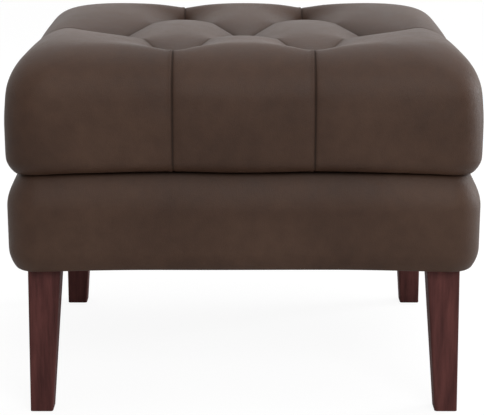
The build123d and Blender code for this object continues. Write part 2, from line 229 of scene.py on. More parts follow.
pleat_length = hypot(seam_x, tuft_row)
pleat_marks = marks(pleat_length, True, True)
quarter_marks = marks(quarter_length, True, True)
middle_marks = marks(seam_x, False, True)
print(len(pleat_marks), "lines run along each pleat")

# %% A mesh made of panels


class Panels:
    """Points and faces of the panels, gathered into one mesh whose borders are then merged."""

    def __init__(self):
        self.points = []
        self.faces = []

    def grid(self, rows, flip):
        start = len(self.points)
        width = len(rows[0])
        for row in rows:
            self.points += row
        for r in range(len(rows) - 1):
            for c in range(width - 1):
                a = start + r * width + c
                face = (a, a + 1, a + width + 1, a + width)
                self.faces.append(face[::-1] if flip else face)

    def strip(self, edge, outline, outer_marks, side, end, flip):
        """A panel from an outer pleat, over the shoulder, to the bottom of the skirt."""
        rows = []
        for r in range(side_rows + under_rows + skirt_rows + 1):
            row = []
            for c in range(columns + 1):
                share = lerp(pleat_marks[c], outer_marks[c], min(r / fan_rows, 1))
                inner = edge(share)
                if r <= side_rows:
                    begin = outline(share, shoulder_radius, side_profile(0)[2])
                    flat = (begin - inner).length
                    whole = flat + shoulder_length + wall_length
                    distance = (r / side_rows) ** row_growth * whole
                    if distance < flat:
                        place = inner.lerp(begin, distance / flat)
                        row.append((side * place.x, end * place.y, top_height(place.x, place.y)))
                        continue
                    inset, height, corner = side_profile(distance - flat)
                elif r <= side_rows + under_rows:
                    inset, height, corner = under_profile((r - side_rows) / under_rows)
                else:
                    inset, height, corner = under_profile(1.0)
                    height = crease - skirt_drop * (r - side_rows - under_rows) / skirt_rows
                place = outline(share, inset, corner)
                low = min(max(1 - (height - crease) / underside_roll, 0), 1)
                tucked = min(max((flange_inset - inset) / (flange_inset - crease_inset), 0), 1)
                height -= sag_at(place.x, place.y) * low * tucked
                row.append((side * place.x, end * place.y, height))
            rows.append(row)
        self.grid(rows, flip)


print("panels reach down", side_rows + under_rows + skirt_rows, "rows")

# %% The blank of the cushion


def middle_outline(share, inset, corner):
    """The straight stretch of the outline between the middle and the front seam."""
    return Vector((seam_x * share, half_depth - inset))


def build_blank():
    """The cushion's surface before it is drawn in at the tufts."""
    panels = Panels()
    side_tuft = Vector((tuft_pitch, 0))
    end_tuft = Vector((seam_x, tuft_row))
    middle_tuft = Vector((0, 0))
    for side, end in quarters:
        flip = side * end > 0
        panels.strip(
            lambda share: side_tuft.lerp(end_tuft, share),
            quarter_outline,
            quarter_marks,
            side,
            end,
            not flip,
        )
        panels.strip(
            lambda share: middle_tuft.lerp(end_tuft, share),
            middle_outline,
            middle_marks,
            side,
            end,
            flip,
        )
    for side in (-1, 1):
        rows = []
        for r in range(columns + 1):
            row = []
            for c in range(columns + 1):
                a = pleat_marks[r]
                b = pleat_marks[c]
                x = side * (tuft_pitch * (a + b) / 2)
                y = tuft_row * (a - b)
                row.append((x, y, top_height(x, y)))
            rows.append(row)
        panels.grid(rows, side > 0)
    mesh = bpy.data.meshes.new("cushion_leather")
    mesh.from_pydata(panels.points, [], panels.faces)
    piece = bpy.data.objects.new("cushion_leather", mesh)
    bpy.context.scene.collection.objects.link(piece)
    shape = bmesh.new()
    shape.from_mesh(mesh)
    bmesh.ops.remove_doubles(shape, verts=shape.verts, dist=merge_distance)
    bmesh.ops.recalc_face_normals(shape, faces=shape.faces)
    shape.to_mesh(mesh)
    shape.free()
    return piece


cushion = build_blank()
print("cushion blank:", len(cushion.data.vertices), "points")

# %% [markdown]
# ## Drawing the leather in
# Each tuft pulls the leather down. Each pleat between two tufts lies in a valley that is deep at
# the tufts and shallower halfway, and a seam runs from the outer tufts over the shoulder. The foam
# pushes back everywhere else. The shape could be sculpted by hand or written as a sum of bumps, but
# neither joins up well at the folds. A skin that is held down along some lines and sits on springs
# elsewhere takes the rounded form by itself, so the depth of every point is solved for at once. Soft
# springs let the pull of the tufts reach further in, and stiff ones keep the shoulder full.

# %% Tufts and folds
tufts = [(x, 0) for x in (-tuft_pitch, 0, tuft_pitch)]
tufts += [(side * seam_x, end * tuft_row) for side, end in quarters]
front_saddle = 11.5 * MM
back_saddle = 18 * MM
pinch_depth = 6 * MM
pinch_width = 7 * MM
pleat_depth = tuft_depth - pinch_depth
skirt_fade_height = 10 * MM


def distance_to_segment(points, a, b):
    """Distance to a straight fold, and how far along it the nearest point is."""
    a = np.array(a)
    b = np.array(b)
    along = np.clip(((points - a) @ (b - a)) / ((b - a) @ (b - a)), 0, 1)
    return np.hypot(*(points - a - along[:, None] * (b - a)).T), along


print(len(tufts), "tufts, with valleys", round(pleat_depth, 4), "deep")

# %% Reading and writing points


def read_points(piece):
    flat = np.empty(len(piece.data.vertices) * 3)
    piece.data.vertices.foreach_get("co", flat)
    return flat.reshape(-1, 3)


def read_normals(piece):
    flat = np.empty(len(piece.data.vertices) * 3)
    piece.data.vertices.foreach_get("normal", flat)
    return flat.reshape(-1, 3)


def write_points(piece, points):
    piece.data.vertices.foreach_set("co", points.ravel())
    piece.data.update()


cushion_points = read_points(cushion)
cushion_normals = read_normals(cushion)
print("highest point", round(float(cushion_points[:, 2].max()), 4))

# %% How far each point is from the folds
plan = cushion_points[:, :2]
rise = np.clip((cushion_points[:, 2] - crease) / (crown - crease), 0, 1)
on_top = np.clip((cushion_points[:, 2] - shoulder_center) / shoulder_radius, 0, 1) ** 1.5
skirt_fade = np.clip((cushion_points[:, 2] - crease) / skirt_fade_height, 0, 1)
to_tuft = np.min([np.hypot(*(plan - np.array(tuft)).T) for tuft in tufts], axis=0)
front_outward = np.abs(plan[:, 1]) - tuft_row
side_outward = np.abs(plan[:, 0]) - tuft_pitch
to_front_seam = np.hypot(np.abs(plan[:, 0]) - seam_x, np.maximum(-front_outward, 0))
to_side_seam = np.hypot(plan[:, 1], np.maximum(-side_outward, 0))
in_diamond = np.abs(np.abs(plan[:, 0]) - seam_x) / seam_x + np.abs(plan[:, 1]) / tuft_row < 1
in_middle = (np.abs(plan[:, 0]) < seam_x) & ~in_diamond
print(int(in_diamond.sum()), "points lie in the diamonds")

# %% Depth where the folds hold the leather
fold_line = 0.05 * MM
hem_margin = 0.5 * MM
side_rim = 7.5 * MM
back_rim = 1.2 * MM
side_seam_reach = 76 * MM
back_seam_reach = 38 * MM
front_seam_reach = 29 * MM
pleat_fall = 1.1
seam_fall = 1.6
wall_fall = 1.5

held = cushion_points[:, 2] < crease + hem_margin
held_depth = np.zeros(len(plan))
to_pleats = []
for side, end in quarters:
    for inner in ((0, 0), (side * tuft_pitch, 0)):
        distance, along = distance_to_segment(plan, (side * seam_x, end * tuft_row), inner)
        to_pleats.append(distance)
        saddle = front_saddle if end < 0 else back_saddle
        depth = saddle + (pleat_depth - saddle) * np.abs(1 - 2 * along) ** pleat_fall
        on_fold = distance < fold_line
        held_depth[on_fold] = depth[on_fold]
        held |= on_fold


def hold_seam(to_seam, outward, reach, rim_depth, shown):
    """A seam falls away from its tuft to the depth that it has at the rim, and fades down the wall."""
    depth = rim_depth + (pleat_depth - rim_depth) * np.clip(1 - outward / reach, 0, 1) ** seam_fall
    on_seam = (to_seam < fold_line) & (outward > 0) & (cushion_points[:, 2] > crease) & shown
    held_depth[on_seam] = (depth * rise**wall_fall)[on_seam]
    held[on_seam] = True


hold_seam(to_side_seam, side_outward, side_seam_reach, side_rim, side_outward > 0)
hold_seam(to_front_seam, front_outward, back_seam_reach, back_rim, plan[:, 1] > 0)
hold_seam(to_front_seam, front_outward, front_seam_reach, 0, plan[:, 1] < 0)
print(int(held.sum()), "points are held")

# %% Springs and swell
diamond_reach = 47 * MM
middle_reach = 40 * MM
outer_reach = 45 * MM
shoulder_reach = 15 * MM
spring_reach = np.where(in_diamond, diamond_reach, np.where(in_middle, middle_reach, outer_reach))
spring_reach = np.where(front_outward > 0, shoulder_reach, spring_reach)
middle_swell = 5.5 * MM
rim_swell = 1.5 * MM
to_side = np.abs(plan[:, 0]) / (half_width - shoulder_radius)
to_front = np.abs(plan[:, 1]) / (half_depth - shoulder_radius)
to_edge = np.maximum(to_side, to_front)
swell = lerp(middle_swell, rim_swell, np.minimum(to_edge, 1) ** 2) * on_top


print("springs reach", shoulder_reach, "to", diamond_reach)

# %% Solving for the depth of the skin


def skin_of(piece):
    """Links between points with their stiffness, and the area that each point carries."""
    piece.data.calc_loop_triangles()
    flat = np.empty(len(piece.data.loop_triangles) * 3, dtype=np.int32)
    piece.data.loop_triangles.foreach_get("vertices", flat)
    corners = flat.reshape(-1, 3)
    points = read_points(piece)
    first, second, stiffness = [], [], []
    for k in range(3):
        a, b, c = corners[:, k], corners[:, (k + 1) % 3], corners[:, (k + 2) % 3]
        one = points[a] - points[c]
        other = points[b] - points[c]
        twice_area = np.maximum(np.linalg.norm(np.cross(one, other), axis=1), 1e-12)
        first.append(a)
        second.append(b)
        stiffness.append(np.sum(one * other, axis=1) / twice_area / 2)
    area = np.bincount(corners.ravel(), np.repeat(twice_area / 6, 3), len(points))
    return np.concatenate(first), np.concatenate(second), np.concatenate(stiffness), area


def settle(piece, held, start, target, reach, rounds=600):
    """Depth of every point of a skin that is held at some points and rests on springs elsewhere."""
    first, second, stiffness, area = skin_of(piece)
    spring = area / reach**2
    count = len(area)
    strength = np.bincount(first, stiffness, count) + np.bincount(second, stiffness, count) + spring

    def force(depth):
        flow = stiffness * (depth[first] - depth[second])
        return np.bincount(first, flow, count) - np.bincount(second, flow, count) + spring * depth

    depth = np.where(held, start, target)
    rest = np.where(held, 0, spring * target - force(depth))
    step = rest / strength
    size = rest @ step
    aim = size * 1e-12
    for _ in range(rounds):
        pushed = np.where(held, 0, force(step))
        share = size / (step @ pushed)
        depth = depth + share * step
        rest = rest - share * pushed
        scaled = rest / strength
        after = rest @ scaled
        if after < aim:
            break
        step = scaled + after / size * step
        size = after
    return depth


sunk = settle(cushion, held, held_depth, -swell, spring_reach)
deepest = round(float(sunk.max()), 4)
highest = round(float(-sunk.min()), 4)
print("the skin sinks by up to", deepest, "and swells by", highest)

# %% [markdown]
# ## Grooves, laps and tufts
# A narrow groove right at the fold gives the dark line of a tucked pleat. It is deepest near the
# tufts, where the leather is bunched. A seam has a finer groove, lies in a shallow valley, and one
# panel laps a little over the other, so its left edge stands up and catches the light.

# %% Grooves and tufts
fold_depth = 3.2 * MM
fold_width = 1.2 * MM
groove_depth = 1.6 * MM
groove_width = 1.0 * MM
valley_depth = 1.6 * MM
valley_width = 12 * MM
valley_start = 60 * MM
bunched_reach = 34 * MM
lap_height = 1.0 * MM
lap_place = 2.4 * MM
lap_width = 1.5 * MM

pinch = pinch_depth * np.exp(-to_tuft / pinch_width)
nearest_fold = np.min([*to_pleats, to_front_seam, to_side_seam], axis=0)
on_seam = np.minimum(to_front_seam, to_side_seam) < np.min(to_pleats, axis=0)
bunched = np.where(on_seam, 1.0, 0.3 + 0.7 * np.exp(-((to_tuft / bunched_reach) ** 2)))
groove = np.where(on_seam, groove_depth, fold_depth) * bunched
fold_reach = np.where(on_seam, groove_width, fold_width)
fold = groove * np.exp(-nearest_fold / fold_reach) * (1 - np.exp(-to_tuft / pinch_width))
from_lap = (nearest_fold - lap_place) / lap_width
lap = lap_height * np.exp(-(from_lap**2)) * (on_seam & (front_outward > 0))
left_of_seam = np.where(plan[:, 0] < 0, plan[:, 0] < -seam_x, plan[:, 0] < seam_x)
fold -= lap * left_of_seam
below_top = np.clip((crown - cushion_points[:, 2]) / valley_start, 0, 1)
to_seam = np.minimum(to_front_seam, to_side_seam)
valley = valley_depth * np.exp(-to_seam / valley_width) * below_top * skirt_fade
drop = np.minimum(sunk + pinch + fold, tuft_depth) * np.where(sunk > 0, skirt_fade, 1) + valley
write_points(cushion, cushion_points - cushion_normals * drop[:, None])
print("deepest point of the tufting", round(float(drop.max()), 4))

# %% [markdown]
# ## Stuffing the cushion
# The solved skin has the large form, but leather also gives a little everywhere. So a short cloth
# simulation follows: the folds, the tufts and the skirt are pinned, gravity is off, and a little
# pressure stands for the foam. The panels swell by up to a millimetre and settle against the pins.
# How far a point may move is capped, so the cushion keeps its size and its sharp folds. The result
# is written into the mesh and the simulation removed.

# %% Cloth


def stuff(piece, held, pressure, cap, frames=10):
    """Blow a skin out between the points that are held, each no further than its cap."""
    start = read_points(piece).copy()
    group = piece.vertex_groups.new(name="held")
    group.add([int(i) for i in np.nonzero(held)[0]], 1.0, "REPLACE")
    modifier = piece.modifiers.new("stuffing", "CLOTH")
    skin = modifier.settings
    skin.quality = 6
    skin.mass = 0.5
    skin.tension_stiffness = 30
    skin.compression_stiffness = 30
    skin.shear_stiffness = 12
    skin.bending_stiffness = 6
    skin.air_damping = 3
    skin.use_pressure = True
    skin.uniform_pressure_force = pressure
    skin.vertex_group_mass = "held"
    skin.effector_weights.gravity = 0
    modifier.collision_settings.use_collision = False
    modifier.point_cache.frame_start = 1
    modifier.point_cache.frame_end = frames
    for step in range(1, frames + 1):
        bpy.context.scene.frame_set(step)
    shown = piece.evaluated_get(bpy.context.evaluated_depsgraph_get())
    flat = np.empty(len(piece.data.vertices) * 3)
    shown.data.vertices.foreach_get("co", flat)
    moved = flat.reshape(-1, 3) - start
    length = np.maximum(np.linalg.norm(moved, axis=1), 1e-9)
    moved *= np.minimum(1, cap / length)[:, None]
    piece.modifiers.remove(modifier)
    piece.vertex_groups.remove(group)
    write_points(piece, start + moved)
    bpy.context.scene.frame_set(1)
    return moved


held_width = 0.6 * MM
pinned = (nearest_fold < held_width) & (cushion_points[:, 2] > crease)
pinned |= cushion_points[:, 2] < crease + hem_margin
moved = stuff(cushion, pinned, pressure=4.0, cap=(0.6 + 0.6 * on_top) * MM)
print("stuffing moved points by up to", round(float(np.abs(moved).max()), 4))

# %% [markdown]
# ## The foam under the leather
# The foam block has the form of the leather, one skin smaller. So it starts as a copy of the
# stuffed cushion, drawn in by the thickness of the leather, with its skirt pulled up to the deck
# that it rests on, and its underside closed.

# %% Foam
skin_gap = 0.4 * MM


def copy_inside(piece, name, depth):
    """A copy of a skin, drawn in along its normals."""
    inner = bpy.data.objects.new(name, piece.data.copy())
    bpy.context.scene.collection.objects.link(inner)
    write_points(inner, read_points(piece) - read_normals(piece) * depth)
    return inner


foam_block = copy_inside(cushion, "foam_block", leather + skin_gap)
foam_points = read_points(foam_block)
under = foam_points[:, 2] < crease
pulled = crease - (crease - foam_points[:, 2]) * (crease - deck_top - skin_gap) / skirt_drop
foam_points[:, 2] = np.where(under, np.maximum(pulled, deck_top + skin_gap), foam_points[:, 2])
write_points(foam_block, foam_points)
shape = bmesh.new()
shape.from_mesh(foam_block.data)
rim = [edge for edge in shape.edges if edge.is_boundary]
underside = bmesh.ops.holes_fill(shape, edges=rim, sides=0)["faces"]
bmesh.ops.poke(shape, faces=underside)
bmesh.ops.recalc_face_normals(shape, faces=shape.faces)
shape.to_mesh(foam_block.data)
shape.free()
print("foam block:", len(foam_block.data.polygons), "faces")

# %% [markdown]
# ## Keeping what the finish needs
# The leather's finish paints shade into the folds and the hollows, so it has to know where they
# are. Both are stored on the mesh as attributes before the surface is refined, and the modifiers
# carry them along.

# %% Attributes, smoothing and thickness


def store(piece, name, values):
    layer = piece.data.attributes.new(name, "FLOAT", "POINT")
    layer.data.foreach_set("value", np.asarray(values, dtype=np.float32))


def select_only(piece):
    bpy.ops.object.select_all(action="DESELECT")
    piece.select_set(True)
    bpy.context.view_layer.objects.active = piece


def apply_modifiers(piece):
    select_only(piece)
    for modifier in list(piece.modifiers):
        bpy.ops.object.modifier_apply(modifier=modifier.name)


def refine(piece, thickness):
    """Round the surface once more and give the leather its thickness, inwards."""
    finer = piece.modifiers.new("finer", "SUBSURF")
    finer.levels = 1
    finer.render_levels = 1
    wall = piece.modifiers.new("thickness", "SOLIDIFY")
    wall.thickness = thickness
    wall.offset = -1
    apply_modifiers(piece)
    bpy.ops.object.shade_smooth()


# Painted shade along the pleats and seams, strongest near the tufts and fading out on the skirt.
fold_shade_width = np.where(on_seam, 1.2, 1.8) * MM
store(cushion, "fold", bunched * np.exp(-nearest_fold / fold_shade_width) * skirt_fade)
# Painted shade in the tuft hollows, deeper where the skin sank further.
store(cushion, "hollow", np.clip(sunk / tuft_depth, 0, 1) ** 1.5)
refine(cushion, leather)
print("cushion leather:", len(cushion.data.polygons), "faces")

# %% [markdown]
# ## The padded band
# Below the cushion a band of leather is stretched over padding on the frame. It is a closed strip
# round the piece: it starts in the crease, rolls out over the padding, comes down straight and
# turns in under the rails. It is built as a grid round the outline, like a sleeve. Leather that is
# pulled over an edge is never quite even, so the surface gets long shallow waves.

# %% Band
band_columns = 320
band_bottom = band_low[2]
band_top = band_high[2]
top_roll = 48 * MM
bottom_roll = 28 * MM
bottom_inset = 9 * MM
hem_inset = 56 * MM
bottom_lift = 4.5 * MM
lip_height = 7 * MM
lip_foot_gap = 0.3 * MM
lip_top_gap = 0.5 * MM
seat_drop = 2.0 * MM
seat_dip = 0.3 * MM
roll_extra = 1.0 * MM
least_corner = 2 * MM
roll_steps = 12
wall_steps = 8
hem_steps = 5
print("band from", round(band_bottom, 4), "to", round(band_top, 4))

# %% Section of the band


def band_profile():
    """Inset, height, and shares of the sag and of the lower edge's lift, from crease to hem."""
    seat = crease - seat_drop
    stations = [(flange_inset - lip_foot_gap, band_top - lip_height, 0.0, 0.0)]
    stations.append((flange_inset - lip_top_gap, band_top, 0.0, 0.0))
    stations.append((lerp(crease_inset, flange_inset, 0.5), seat - seat_dip, 0.5, 0.0))
    for step in range(roll_steps + 1):
        left = 1 - step / roll_steps
        inset = (crease_inset + roll_extra) * left**1.7
        stations.append((inset, seat - top_roll * (1 - left), left**1.5, 0.0))
    top_end = seat - top_roll
    bottom_start = band_bottom + bottom_roll
    for step in range(1, wall_steps + 1):
        share = step / wall_steps
        stations.append((0.0, lerp(top_end, bottom_start, share), 0.0, 0.35 * share))
    for step in range(1, roll_steps + 1):
        share = step / roll_steps
        height = bottom_start - bottom_roll * share
        stations.append((bottom_inset * share**2.1, height, 0.0, 0.35 + 0.65 * share))
    for step in range(1, hem_steps + 1):
        share = step / hem_steps
        lift = 0.75 if step == 1 else 0.0
        stations.append((lerp(bottom_inset, hem_inset, share**1.3), band_bottom, 0.0, lift))
    return stations


print(len(band_profile()), "rings from the crease to the hem")

# %% Outline of the band


def round_outline(share, inset, corner):
    """A point of a rounded rectangle, the share counted along its length from the right side."""
    x = half_width - inset
    y = half_depth - inset
    corner = max(corner, least_corner)
    runs = (2 * (half_depth - corner_radius), 2 * (half_width - corner_radius)) * 2
    bend = corner_radius * pi / 2
    total = sum(runs) + 4 * bend
    stretches = []
    for run in runs:
        stretches += [run / total, bend / total]
    part = 0
    left = share % 1.0
    while left > stretches[part] and part < 7:
        left -= stretches[part]
        part += 1
    step = left / stretches[part]
    far_x = x - corner
    far_y = y - corner
    centers = [(far_x, far_y), (-far_x, far_y), (-far_x, -far_y), (far_x, -far_y)]
    turn = part // 2
    angle = turn * pi / 2
    if part % 2:
        center = centers[turn]
        angle += step * pi / 2
        return center[0] + corner * cos(angle), center[1] + corner * sin(angle)
    previous = centers[turn - 1]
    following = centers[turn]
    base_x = lerp(previous[0], following[0], step)
    base_y = lerp(previous[1], following[1], step)
    return base_x + corner * cos(angle), base_y + corner * sin(angle)


def lift_at(x, y):
    """The lower edge is drawn up between the corners, most in the middle of a side."""
    if half_depth - abs(y) < half_width - abs(x):
        along = 1 - abs(x) / half_width
    else:
        along = 1 - abs(y) / half_depth
    return bottom_lift * sin(min(max(along, 0) * 1.5, 1) * pi / 2)


print("the lower edge rises by", round(lift_at(0, half_depth), 4))

# %% The blank of the band


def build_band():
    stations = band_profile()
    points = []
    for inset, height, sag, lift in stations:
        for c in range(band_columns):
            x, y = round_outline(c / band_columns, inset, corner_radius - inset)
            points.append((x, y, height - sag_at(x, y) * sag + lift_at(x, y) * lift))
    faces = []
    for r in range(len(stations) - 1):
        for c in range(band_columns):
            after = (c + 1) % band_columns
            a = r * band_columns
            faces.append((a + c, a + band_columns + c, a + band_columns + after, a + after))
    mesh = bpy.data.meshes.new("band_leather")
    mesh.from_pydata(points, [], faces)
    piece = bpy.data.objects.new("band_leather", mesh)
    bpy.context.scene.collection.objects.link(piece)
    return piece


band = build_band()
print("band blank:", len(band.data.vertices), "points")

# %% Waves in the stretched leather


def waves(points, normals, places):
    """Long shallow dents, each at a listed place, along the outside of a piece."""
    moved = np.zeros(len(points))
    for x, y, z, width, height, depth in places:
        away = ((points[:, 0] - x) / width) ** 2 + ((points[:, 1] - y) / width) ** 2
        away += ((points[:, 2] - z) / height) ** 2
        moved += depth * np.exp(-away)
    return points + normals * moved[:, None]


band_points = read_points(band)
band_normals = read_normals(band)
band_middle = (band_bottom + band_top) / 2
dents = [
    (-200 * MM, -half_depth, band_middle + 20 * MM, 70 * MM, 50 * MM, -1.1 * MM),
    (-50 * MM, -half_depth, band_middle - 20 * MM, 90 * MM, 40 * MM, 0.7 * MM),
    (100 * MM, -half_depth, band_middle + 10 * MM, 80 * MM, 50 * MM, -0.9 * MM),
    (240 * MM, -half_depth, band_middle, 60 * MM, 50 * MM, 0.8 * MM),
    (half_width, -120 * MM, band_middle, 80 * MM, 50 * MM, -1.0 * MM),
    (half_width, 100 * MM, band_middle + 20 * MM, 70 * MM, 40 * MM, 0.8 * MM),
    (-half_width, -80 * MM, band_middle, 70 * MM, 50 * MM, 0.9 * MM),
    (-half_width, 130 * MM, band_middle - 20 * MM, 80 * MM, 50 * MM, -1.0 * MM),
    (-150 * MM, half_depth, band_middle, 80 * MM, 50 * MM, -1.0 * MM),
    (120 * MM, half_depth, band_middle + 10 * MM, 90 * MM, 50 * MM, 0.8 * MM),
]
write_points(band, waves(band_points, band_normals, dents))
print(len(dents), "waves in the band")

# %% [markdown]
# ## The padding of the band
# The padding fills the room between the leather and the rails. Its outside is the leather's inside,
# and its inside stands straight against the frame, so it is closed with a few more rings of points.

# %% Padding
frame_half_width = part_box("right_rail")[1][0]
frame_gap = 0.3 * MM
rail_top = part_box("back_rail")[1][2]
rail_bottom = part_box("back_rail")[0][2]


def build_padding():
    padding = copy_inside(band, "band_wadding", leather + skin_gap)
    points = read_points(padding)
    rings = len(points) // band_columns
    low_ring = rings - hem_steps
    kept = points[:low_ring * band_columns]
    kept[:, 2] = np.maximum(kept[:, 2], rail_bottom + skin_gap)
    inner = []
    low = rail_bottom + skin_gap
    middle = (rail_bottom + rail_top) / 2
    high = band_top - leather - skin_gap - lip_height
    for height in (low, middle, high):
        for c in range(band_columns):
            inset = half_width - frame_half_width - frame_gap
            x, y = round_outline(c / band_columns, inset, least_corner)
            inner.append((x, y, height))
    points = np.vstack([kept, np.array(inner)])
    rings = len(points) // band_columns
    faces = []
    for r in range(rings):
        below = (r + 1) % rings
        for c in range(band_columns):
            after = (c + 1) % band_columns
            a = r * band_columns
            b = below * band_columns
            faces.append((a + c, b + c, b + after, a + after))
    mesh = bpy.data.meshes.new("band_wadding")
    mesh.from_pydata([tuple(map(float, point)) for point in points], [], faces)
    padding.data = mesh
    return padding


padding = build_padding()
print("band padding:", len(padding.data.polygons), "faces")

# %% Finish the band's mesh
# Painted shade along the top of the band, where it goes into the crease under the cushion. The band
# gets no painted hollow shade.
crease_shade_reach = 5 * MM
store(band, "fold", np.exp(-np.abs(band_points[:, 2] - band_top) / crease_shade_reach))
store(band, "hollow", np.zeros(len(band_points)))
refine(band, leather)
print("band leather:", len(band.data.polygons), "faces")

# %% [markdown]
# ## A short way to write finishes
# A finish is a net of shader nodes. Written out node by node it is long, so a small class wraps a
# socket, and sums on it add the maths nodes: `0.4 + noise * 0.2` is an addition and a
# multiplication. One method adds any other node.

# %% Sockets that can be used in sums


class Socket:
    """An output of a shader node that can be used in sums."""

    def __init__(self, finish, output):
        self.finish = finish
        self.output = output

    def maths(self, operation, first, second):
        return self.finish.node("ShaderNodeMath", {"operation": operation}, {0: first, 1: second})

    def __add__(self, other):
        return self.maths("ADD", self, other)

    def __radd__(self, other):
        return self.maths("ADD", other, self)

    def __mul__(self, other):
        return self.maths("MULTIPLY", self, other)

    def __rmul__(self, other):
        return self.maths("MULTIPLY", other, self)


print("sockets can be added and multiplied")

# %% A finish, node by node


class Finish:
    """A material that is made node by node."""

    def __init__(self, name, roughness=0.5, **constants):
        self.material = bpy.data.materials.new(name)
        self.material.use_nodes = True
        self.tree = self.material.node_tree
        self.surface = self.tree.nodes["Principled BSDF"]
        self.surface.inputs["Roughness"].default_value = roughness
        for socket, value in constants.items():
            self.surface.inputs[socket.replace("_", " ")].default_value = value

    def node(self, kind, settings=None, inputs=None, output=0):
        made = self.tree.nodes.new(kind)
        for key, value in (settings or {}).items():
            if key == "stops":
                ramp = made.color_ramp
                while len(ramp.elements) < len(value):
                    ramp.elements.new(0.5)
                for element, (place, color) in zip(ramp.elements, value):
                    element.position = place
                    element.color = (*color, 1.0)
            else:
                setattr(made, key, value)
        for key, value in (inputs or {}).items():
            if isinstance(value, Socket):
                self.tree.links.new(value.output, made.inputs[key])
            else:
                made.inputs[key].default_value = value
        return Socket(self, made.outputs[output])

    def place(self, scale=(1, 1, 1)):
        """Object coordinates, stretched."""
        where = self.node("ShaderNodeTexCoord", output="Object")
        return self.node("ShaderNodeMapping", inputs={"Vector": where, "Scale": scale})

    def noise(self, where, scale, detail=3.0, roughness=0.5):
        inputs = {"Vector": where, "Scale": scale, "Detail": detail, "Roughness": roughness}
        return self.node("ShaderNodeTexNoise", inputs=inputs)

    def mix(self, factor, first, second):
        inputs = {0: factor, 6: first, 7: second}
        return self.node("ShaderNodeMix", {"data_type": "RGBA"}, inputs, output=2)

    def attribute(self, name):
        return self.node("ShaderNodeAttribute", {"attribute_name": name}, output="Fac")

    def set(self, **links):
        for socket, value in links.items():
            self.tree.links.new(value.output, self.surface.inputs[socket.replace("_", " ")])

    def bump(self, height, distance, strength=1.0):
        inputs = {"Height": height, "Distance": distance, "Strength": strength}
        normal = self.node("ShaderNodeBump", inputs=inputs)
        self.tree.links.new(normal.output, self.surface.inputs["Normal"])


def rgb(red, green, blue):
    return (red, green, blue, 1.0)


print("shader helpers ready")

# %% [markdown]
# ## Leather
# The leather is a dark brown hide with a fine pebble grain. Its colour drifts slowly over the hide.
# Shade is painted into the hollows, and a darker painted shade into the folds. The grain is a field of
# small cells about a millimetre across, softened by a finer noise. The gloss is low, since the hide is
# waxed rather than lacquered, and it is broken up a little too.

# %% Leather finish


def leather_finish():
    finish = Finish("brown_leather", Specular_IOR_Level=0.26, IOR=1.45)
    where = finish.place()
    drift = finish.noise(where, 7.0, detail=4.0)
    mottle = finish.noise(where, 55.0, detail=4.0, roughness=0.6)
    edges = {"feature": "DISTANCE_TO_EDGE"}
    cells = finish.node("ShaderNodeTexVoronoi", edges, {"Vector": where, "Scale": 620.0})
    wrinkle = finish.noise(where, 230.0, detail=3.0)
    fold = finish.attribute("fold")
    tone = drift * 0.65 + mottle * 0.35
    stops = [
        (0.30, (0.036, 0.0165, 0.0092)),
        (0.52, (0.052, 0.0255, 0.0150)),
        (0.75, (0.070, 0.0365, 0.0225)),
    ]
    body = finish.node("ShaderNodeValToRGB", {"stops": stops}, {"Fac": tone})
    # Painted shade: the tuft hollows are darkened towards near black.
    shaded = finish.mix(finish.attribute("hollow") * 0.7, body, rgb(0.012, 0.006, 0.004))
    # Painted shade: the pleats, the seams and the band's top in the crease are darkened towards near
    # black.
    color = finish.mix(fold * 0.85, shaded, rgb(0.012, 0.007, 0.005))
    finish.set(Base_Color=color, Roughness=0.43 + mottle * 0.14 + fold * 0.3)
    grain = finish.node("ShaderNodeMath", {"operation": "MINIMUM"}, {0: cells * 3.0, 1: 0.5})
    finish.bump(grain * 0.6 + wrinkle * 0.5 + mottle * 1.2, 0.25 * MM)
    return finish.material


leather_material = leather_finish()
for piece in (cushion, band):
    piece.data.materials.clear()
    piece.data.materials.append(leather_material)
print("leather on", cushion.name, "and", band.name)

# %% [markdown]
# ## Wood
# The legs are hardwood, stained a dark red brown, with the grain running down the leg. Stretched
# noise makes long streaks, and finer noise the pores. The frame's boards show raw pale wood, the
# deck shows plies at its edge.

# %% Wood finishes


def wood_finish(name, dark, light, along, roughness, coat=0.0, specular=0.5):
    finish = Finish(name, Coat_Weight=coat, Coat_Roughness=0.25, Specular_IOR_Level=specular)
    stretch = [9.0 if axis == along else 90.0 for axis in range(3)]
    where = finish.place(stretch)
    streaks = finish.noise(where, 1.0, detail=6.0, roughness=0.62)
    pores = finish.noise(finish.place([value * 9 for value in stretch]), 1.0, detail=2.0)
    middle = tuple((a + b) / 2 for a, b in zip(dark, light))
    stops = [(0.32, dark), (0.50, middle), (0.68, light)]
    color = finish.node("ShaderNodeValToRGB", {"stops": stops}, {"Fac": streaks})
    finish.set(
        Base_Color=finish.mix(pores * 0.35, color, rgb(*dark)),
        Roughness=roughness + streaks * 0.12,
    )
    finish.bump(streaks * 0.6 + pores * 0.4, 0.15 * MM)
    return finish.material


def plywood_finish():
    finish = Finish("deck_plywood", 0.65)
    face = finish.noise(finish.place((90, 9, 90)), 1.0, detail=5.0, roughness=0.6)
    layers = {"Vector": finish.place(), "Scale": 130.0, "Distortion": 0.3}
    plies = finish.node("ShaderNodeTexWave", {"bands_direction": "Z"}, layers)
    stops = [(0.3, (0.40, 0.26, 0.14)), (0.7, (0.66, 0.49, 0.31))]
    color = finish.node("ShaderNodeValToRGB", {"stops": stops}, {"Fac": face * 0.7 + plies * 0.3})
    finish.set(Base_Color=color)
    finish.bump(face + plies * 0.5, 0.1 * MM)
    return finish.material


